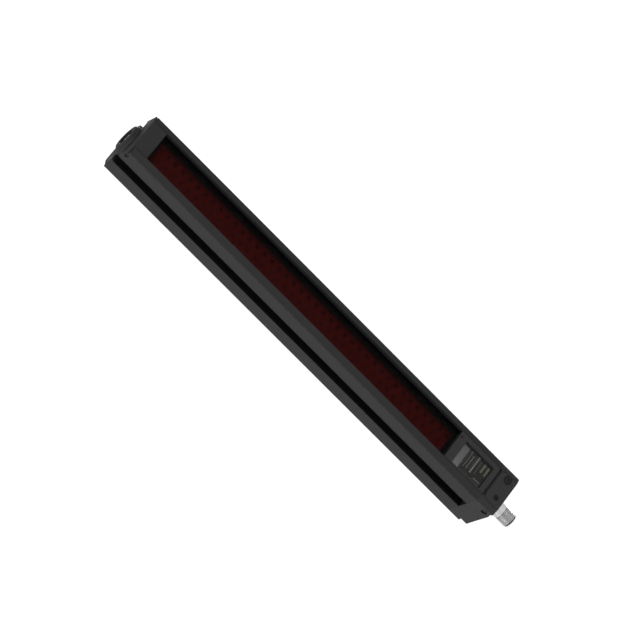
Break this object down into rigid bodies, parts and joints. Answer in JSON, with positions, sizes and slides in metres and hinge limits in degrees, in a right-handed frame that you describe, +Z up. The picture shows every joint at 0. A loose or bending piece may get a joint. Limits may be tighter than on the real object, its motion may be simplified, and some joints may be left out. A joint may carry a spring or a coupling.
{
  "type": "safety light curtain",
  "caption": "Slim black light curtain bar: bevelled aluminium housing with side T-slots, dark beam window, indicator panel, pivot boss on top and round threaded connector below.",
  "frame": {"origin": "centre of the bottom cap's end face, on the axis of the round connector", "axes": "+Z up along the bar, away from the connector; -Y out of the optical front; +X to the right seen from the front"},
  "size_m": [0.036, 0.0461, 0.3964],
  "materials": {
    "housing_paint": "extruded and die-cast aluminium, fine matt black powder coat",
    "cap_plastic": "moulded black, light grain",
    "panel_plastic": "moulded black, light grain",
    "window_filter": "dark red infrared filter, polished",
    "seal_rubber": "matt black",
    "mask_plastic": "matt",
    "lens_plastic": "polished, clear to infrared",
    "carrier_plastic": "moulded black",
    "board_laminate": "solder mask, satin",
    "emitter_epoxy": "clear epoxy",
    "component_plastic": "moulded",
    "header_plastic": "moulded, natural",
    "display_clear": "clear, polished",
    "overlay_film": "printed film, satin",
    "display_face": "grey-green display",
    "bar_diffuser": "translucent, satin",
    "lamp_diffuser": "translucent, satin",
    "status_diffuser": "dark tinted",
    "spacer_plastic": "moulded, natural",
    "screw_black": "black oxide, satin",
    "screw_steel": "zinc plated",
    "connector_nickel": "nickel plated, satin",
    "insert_plastic": "moulded black",
    "pin_gold": "gold plated"
  },
  "bodies": {
    "root": {"housing_extrusion": "housing_paint", "front_window": "window_filter", "window_gasket": "seal_rubber", "aperture_mask": "mask_plastic", "lens_strip": "lens_plastic", "optics_carrier": "carrier_plastic", "beam_board": "board_laminate", "beam_emitters": "emitter_epoxy", "control_board": "board_laminate", "control_components": "component_plastic", "board_link": "header_plastic", "display_bezel": "panel_plastic", "bezel_gasket": "seal_rubber", "display_pane": "display_clear", "panel_overlay": "overlay_film", "display_module": "display_face", "light_bars": "bar_diffuser", "zone_lamps": "lamp_diffuser", "display_carrier": "carrier_plastic", "panel_board": "board_laminate", "status_light_pipe": "status_diffuser", "board_standoffs": "spacer_plastic", "bottom_end_cap": "housing_paint", "cap_face_plate": "panel_plastic", "cap_face_screws": "screw_black", "bottom_cap_gasket": "seal_rubber", "bottom_cap_screws": "screw_steel", "connector_shell": "connector_nickel", "connector_insert": "insert_plastic", "connector_pins": "pin_gold", "connector_lock_nut": "connector_nickel", "connector_board": "board_laminate", "connector_header": "header_plastic", "top_end_cap": "cap_plastic", "top_cap_gasket": "seal_rubber", "top_cap_screws": "screw_black", "pivot_boss": "cap_plastic", "pivot_screw": "screw_steel"}
  },
  "joints": []
}
